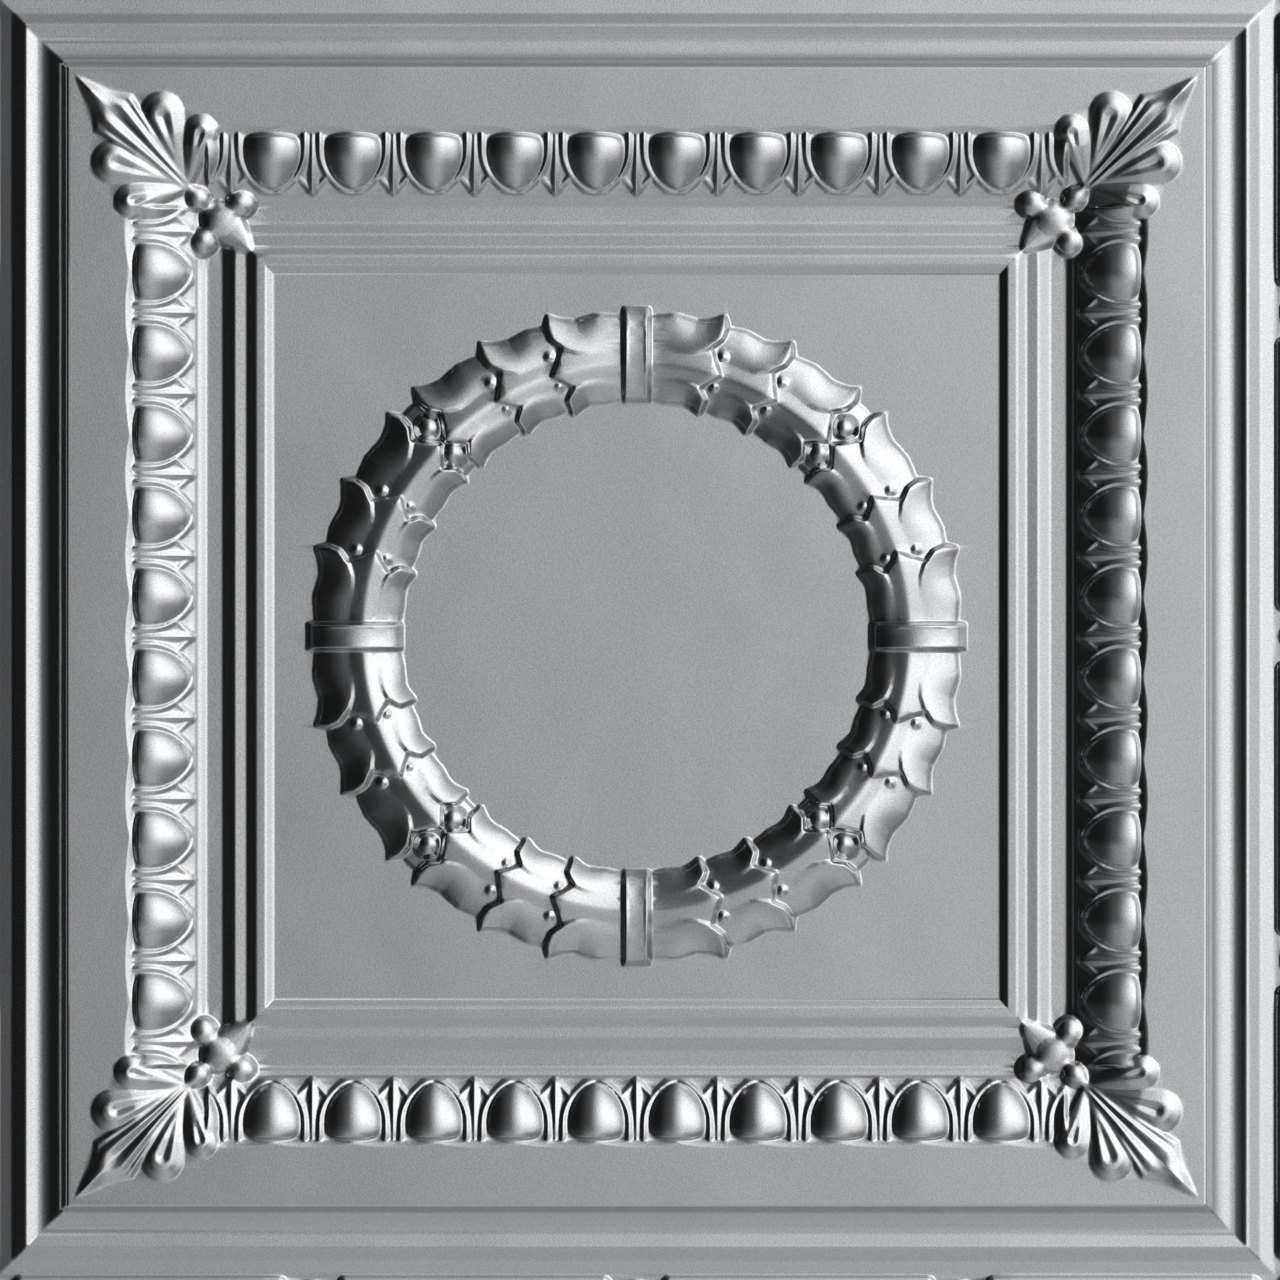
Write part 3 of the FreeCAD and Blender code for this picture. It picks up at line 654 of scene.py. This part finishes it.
def softened(height, spacing, softness):
    """Blur of the height grid, mirrored at the centre lines and held at the outer edge."""
    reach = int(math.ceil(BLUR_REACH * softness / spacing))
    offsets = np.arange(-reach, reach + 1) * spacing
    weights = np.exp(-0.5 * (offsets / softness) ** 2)
    weights /= weights.sum()
    for axis in (0, 1):
        mirrored = np.take(height, range(reach, 0, -1), axis=axis)
        held = np.repeat(np.take(height, [-1], axis=axis), reach, axis=axis)
        padded = np.concatenate([mirrored, height, held], axis=axis)
        count = height.shape[axis]
        height = sum(w * np.take(padded, range(i, i + count), axis=axis) for i, w in enumerate(weights))
    return height


def height_grid():
    """Softened heights of the quarter tile on a square grid, with the grid's spacing."""
    line = np.linspace(0, HALF, GRID_STEPS + 1)
    x, y = np.meshgrid(line, line, indexing="ij")
    spacing = HALF / GRID_STEPS
    height = relief(x, y)
    on_wreath = 1 - ramp(np.hypot(x, y), FIELD_AT - SOFTNESS_BLEND, FIELD_AT)
    at_corner = ramp(np.minimum(x, y), FIELD_AT, FIELD_AT + SOFTNESS_BLEND)
    leafy = np.maximum(on_wreath, at_corner)
    crisp = softened(height, spacing, PRESS_SOFTNESS)
    return crisp + (softened(height, spacing, LEAF_SOFTNESS) - crisp) * leafy, spacing


def sampled(grid, spacing, points):
    """Straight-line interpolation of a grid at plan points."""
    place = np.clip(points / spacing, 0, GRID_STEPS - TINY)
    cell = place.astype(int)
    share = place - cell
    i, j = cell[:, 0], cell[:, 1]
    u, v = share[:, 0], share[:, 1]
    low = grid[i, j] * (1 - u) + grid[i + 1, j] * u
    high = grid[i, j + 1] * (1 - u) + grid[i + 1, j + 1] * u
    return low * (1 - v) + high * v


def new_mesh(name, points, triangles):
    """Mesh from arrays of points and triangles."""
    mesh = bpy.data.meshes.new(name)
    mesh.vertices.add(len(points))
    mesh.vertices.foreach_set("co", points.astype(np.float32).ravel())
    mesh.loops.add(len(triangles) * 3)
    mesh.loops.foreach_set("vertex_index", triangles.astype(np.int32).ravel())
    mesh.polygons.add(len(triangles))
    mesh.polygons.foreach_set("loop_start", np.arange(0, len(triangles) * 3, 3, dtype=np.int32))
    mesh.update(calc_edges=True)
    return mesh


def octant_grid_mesh(grid, spacing):
    """Fine triangles over the octant between a side's centre line and the diagonal."""
    i, j = np.meshgrid(np.arange(GRID_STEPS + 1), np.arange(GRID_STEPS + 1), indexing="ij")
    kept = j <= i
    number = np.full(grid.shape, -1)
    number[kept] = np.arange(kept.sum())
    points = np.stack([i[kept] * spacing, j[kept] * spacing, grid[kept]], axis=1)
    a, b = number[:-1, :-1], number[1:, :-1]
    c, d = number[1:, 1:], number[:-1, 1:]
    lower = np.stack([a, b, c], axis=-1)[(a >= 0) & (b >= 0) & (c >= 0)]
    upper = np.stack([a, c, d], axis=-1)[(a >= 0) & (c >= 0) & (d >= 0)]
    return new_mesh("octant", points, np.concatenate([lower, upper]))


def thinned(mesh, triangles):
    """Points and triangles of a mesh after merging the least needed ones."""
    fine = bpy.data.objects.new("octant", mesh)
    bpy.context.scene.collection.objects.link(fine)
    modifier = fine.modifiers.new("thin", "DECIMATE")
    modifier.ratio = triangles / len(mesh.polygons)
    evaluated = fine.evaluated_get(bpy.context.evaluated_depsgraph_get())
    coarse = bpy.data.meshes.new_from_object(evaluated)
    coarse.calc_loop_triangles()
    points = np.empty(len(coarse.vertices) * 3, dtype=np.float32)
    coarse.vertices.foreach_get("co", points)
    corners = np.empty(len(coarse.loop_triangles) * 3, dtype=np.int32)
    coarse.loop_triangles.foreach_get("vertices", corners)
    bpy.data.objects.remove(fine)
    bpy.data.meshes.remove(mesh)
    bpy.data.meshes.remove(coarse)
    return points.reshape(-1, 3).astype(float), corners.reshape(-1, 3)


def border_edges(triangles):
    """Edges that belong to one triangle only, in that triangle's direction."""
    edges = np.concatenate([triangles[:, [0, 1]], triangles[:, [1, 2]], triangles[:, [2, 0]]])
    _, index, uses = np.unique(np.sort(edges, axis=1), axis=0, return_index=True, return_counts=True)
    return edges[index[uses == 1]]


def snapped(points, triangles, near):
    """The points, with those on the border put back exactly on the octant's three border lines."""
    border = np.unique(border_edges(triangles))
    x, y, z = points[border].T
    y = np.where(y < near, 0, y)
    x = np.where(x > HALF - near, HALF, x)
    middle = np.where(x == HALF, HALF, (x + y) / 2)
    on_diagonal = np.abs(x - y) < near
    x = np.where(on_diagonal, middle, x)
    y = np.where(on_diagonal, middle, y)
    points[border] = np.stack([x, y, z], axis=1)
    return points


def slope_normals(grid, spacing, points):
    """Unit normals of the softened relief at plan points."""
    slope_x, slope_y = np.gradient(grid, spacing)
    slope_x[0, :] = 0
    slope_y[:, 0] = 0
    normals = np.ones((len(points), 3))
    normals[:, 0] = -sampled(slope_x, spacing, points[:, :2])
    normals[:, 1] = -sampled(slope_y, spacing, points[:, :2])
    on_diagonal = points[:, 0] == points[:, 1]
    normals[on_diagonal, :2] = normals[on_diagonal, :2].mean(axis=1, keepdims=True)
    return normals / np.linalg.norm(normals, axis=1, keepdims=True)


def octant_moves():
    """The turns and mirrorings that carry one octant over the whole tile."""
    mirror = np.array([[0, 1, 0], [1, 0, 0], [0, 0, 1.0]])
    moves = []
    for quarter in range(4):
        cos = math.cos(quarter * math.pi / 2)
        sin = math.sin(quarter * math.pi / 2)
        spin = np.array([[cos, -sin, 0], [sin, cos, 0], [0, 0, 1]])
        moves += [spin, spin @ mirror]
    return moves


def whole_face(points, normals, triangles):
    """The octant carried over the whole tile, its copies sharing their border points."""
    all_points, all_normals, all_triangles = [], [], []
    for copy, move in enumerate(octant_moves()):
        order = triangles if np.linalg.det(move) > 0 else triangles[:, ::-1]
        all_points.append(points @ move.T)
        all_normals.append(normals @ move.T)
        all_triangles.append(order + len(points) * copy)
    keys = np.round(np.concatenate(all_points) * MERGE_STEPS).astype(np.int64)
    _, first, merged = np.unique(keys, axis=0, return_index=True, return_inverse=True)
    faces = merged.ravel()[np.concatenate(all_triangles)]
    return np.concatenate(all_points)[first], np.concatenate(all_normals)[first], faces


def shading_normals(points, exact, faces):
    """The relief's exact normals where all faces are small, even ones beside a large flat face."""
    corner = points[faces]
    weighted = np.cross(corner[:, 1] - corner[:, 0], corner[:, 2] - corner[:, 0])
    area = np.linalg.norm(weighted, axis=1) / 2
    even = np.zeros_like(points)
    largest = np.zeros(len(points))
    for column in range(3):
        np.add.at(even, faces[:, column], weighted)
        np.maximum.at(largest, faces[:, column], area)
    even /= np.linalg.norm(even, axis=1, keepdims=True)
    share = ramp(largest, SMALL_FACE, LARGE_FACE)[:, None]
    normals = exact * (1 - share) + even * share
    return normals / np.linalg.norm(normals, axis=1, keepdims=True)


def thinned_face(grid, spacing, octant_triangles):
    """Points, normals and triangles of the whole upper face at this density."""
    points, triangles = thinned(octant_grid_mesh(grid, spacing), octant_triangles)
    points = snapped(points, triangles, spacing / 2)
    normals = slope_normals(grid, spacing, points)
    points, normals, triangles = whole_face(points, normals, triangles)
    return points, shading_normals(points, normals, triangles), triangles


def edge_strip(points, face_count, border):
    """Triangles of the cut edge: border points of face and back taken in turn round the tile."""
    order = border[np.argsort(np.arctan2(points[border, 1], points[border, 0]))]
    on_face = order < face_count
    last_face, last_back = order[on_face][-1], order[~on_face][-1]
    strip = []
    for point in order:
        strip.append((last_face, last_back, point))
        if point < face_count:
            last_face = point
        else:
            last_back = point
    return np.array(strip)


def pressed_sheet():
    """The tile as one closed sheet: the face, a coarser back one thickness behind it, the cut edge."""
    grid, spacing = height_grid()
    face, face_normals, face_triangles = thinned_face(grid, spacing, FACE_OCTANT_TRIANGLES)
    back, back_normals, back_triangles = thinned_face(grid, spacing, BACK_OCTANT_TRIANGLES)
    back = back - back_normals * SHEET
    back[:, :2] = np.clip(back[:, :2], -HALF, HALF)
    back[:, 2] = np.maximum(back[:, 2], 0)
    points = np.concatenate([face, back])
    normals = np.concatenate([face_normals, -back_normals])
    triangles = np.concatenate([face_triangles, back_triangles[:, ::-1] + len(face)])
    strip = edge_strip(points, len(face), np.unique(border_edges(triangles)))
    mesh = new_mesh("ceiling_tile_sheet", points * MM, np.concatenate([triangles, strip]))
    mesh.shade_smooth()
    mesh.normals_split_custom_set_from_vertices(normals)
    piece = bpy.data.objects.new("ceiling_tile_sheet", mesh)
    bpy.context.scene.collection.objects.link(piece)
    return piece


def noise_node(nodes, links, place, scale):
    """Noise over the sheet with this many features per metre."""
    noise = nodes.new("ShaderNodeTexNoise")
    noise.inputs["Scale"].default_value = scale
    noise.inputs["Detail"].default_value = NOISE_DETAIL
    links.new(place.outputs["Object"], noise.inputs["Vector"])
    return noise


def bump_node(nodes, links, noise, depth):
    """Bump of this depth in millimetres from a noise."""
    bump = nodes.new("ShaderNodeBump")
    bump.inputs["Distance"].default_value = depth * MM
    links.new(noise.outputs["Fac"], bump.inputs["Height"])
    return bump


def tinplate():
    """Bright tin-plated steel: slightly wavy, with a fine even grain."""
    material = bpy.data.materials.new("tinplate")
    material.use_nodes = True
    nodes = material.node_tree.nodes
    links = material.node_tree.links
    shader = nodes["Principled BSDF"]
    shader.inputs["Metallic"].default_value = 1.0
    place = nodes.new("ShaderNodeTexCoord")
    grain = noise_node(nodes, links, place, GRAIN_SCALE)
    wave = noise_node(nodes, links, place, WAVE_SCALE)

    tone = nodes.new("ShaderNodeValToRGB")
    for element, position, colour in zip(tone.color_ramp.elements, GRAIN_SPAN, (GRAIN_DARK, GRAIN_LIGHT)):
        element.position = position
        element.color = colour
    links.new(grain.outputs["Fac"], tone.inputs["Fac"])
    links.new(tone.outputs["Color"], shader.inputs["Base Color"])

    rough = nodes.new("ShaderNodeMapRange")
    rough.inputs["To Min"].default_value = ROUGHNESS[0]
    rough.inputs["To Max"].default_value = ROUGHNESS[1]
    links.new(wave.outputs["Fac"], rough.inputs["Value"])
    links.new(rough.outputs["Result"], shader.inputs["Roughness"])

    wave_bump = bump_node(nodes, links, wave, WAVE_DEPTH)
    grain_bump = bump_node(nodes, links, grain, GRAIN_DEPTH)
    links.new(wave_bump.outputs["Normal"], grain_bump.inputs["Normal"])
    links.new(grain_bump.outputs["Normal"], shader.inputs["Normal"])
    return material


def floor_material():
    """Even, pale, matt material."""
    material = bpy.data.materials.new("floor")
    material.use_nodes = True
    shader = material.node_tree.nodes["Principled BSDF"]
    shader.inputs["Base Color"].default_value = FLOOR_COLOUR
    shader.inputs["Roughness"].default_value = FLOOR_ROUGHNESS
    return material


def build_floor():
    """Pale level floor under the tile."""
    bpy.ops.mesh.primitive_plane_add(size=FLOOR_SIZE)
    floor = bpy.context.object
    floor.name = "floor"
    floor.data.materials.append(floor_material())


def wash(nodes, links, axis, start, end, low, high):
    """Output of a soft change of level across the dome, along an axis from start to end."""
    place = nodes.new("ShaderNodeTexCoord")
    along = nodes.new("ShaderNodeVectorMath")
    along.operation = "DOT_PRODUCT"
    along.inputs[1].default_value = axis
    level = nodes.new("ShaderNodeMapRange")
    level.interpolation_type = "SMOOTHSTEP"
    level.inputs["From Min"].default_value = start
    level.inputs["From Max"].default_value = end
    level.inputs["To Min"].default_value = low
    level.inputs["To Max"].default_value = high
    links.new(place.outputs["Generated"], along.inputs[0])
    links.new(along.outputs["Value"], level.inputs["Value"])
    return level.outputs["Result"]


def combined(nodes, links, operation, outputs):
    """Output of all the outputs added or multiplied together."""
    result = outputs[0]
    for output in outputs[1:]:
        step = nodes.new("ShaderNodeMath")
        step.operation = operation
        links.new(result, step.inputs[0])
        links.new(output, step.inputs[1])
        result = step.outputs["Value"]
    return result


def build_lights():
    """Soft dome that lights the tile, seen by the camera as a plain pale backdrop."""
    world = bpy.data.worlds.new("studio")
    world.use_nodes = True
    nodes = world.node_tree.nodes
    links = world.node_tree.links
    lights = []
    for light in (MAIN_LIGHT, FILL_LIGHT):
        washes = [wash(nodes, links, *values) for values in light]
        lights.append(combined(nodes, links, "MULTIPLY", washes))
    eye = nodes.new("ShaderNodeLightPath")
    shown = nodes.new("ShaderNodeMix")
    shown.data_type = "FLOAT"
    shown.inputs["B"].default_value = BACKDROP
    links.new(eye.outputs["Is Camera Ray"], shown.inputs["Factor"])
    links.new(combined(nodes, links, "ADD", lights), shown.inputs["A"])
    background = nodes["Background"]
    background.inputs["Color"].default_value = LIGHT_COLOUR
    links.new(shown.outputs["Result"], background.inputs["Strength"])
    bpy.context.scene.world = world


def build_camera():
    """Camera straight above, framing the photographed square."""
    camera = bpy.data.cameras.new("camera")
    camera.sensor_width = SENSOR_WIDTH
    camera.lens = SENSOR_WIDTH * (CAMERA_HEIGHT - FRAME_Z * MM) / (PHOTO_WIDTH * MM)
    eye = bpy.data.objects.new("camera", camera)
    eye.location = (VIEW_OFFSET * MM, -VIEW_OFFSET * MM, CAMERA_HEIGHT)
    bpy.context.scene.collection.objects.link(eye)
    bpy.context.scene.camera = eye


sheet = pressed_sheet()
sheet.data.materials.append(tinplate())
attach(sheet, "root")
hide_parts("ceiling_tile")
build_floor()
build_lights()
build_camera()
bpy.context.scene.view_settings.view_transform = "Standard"
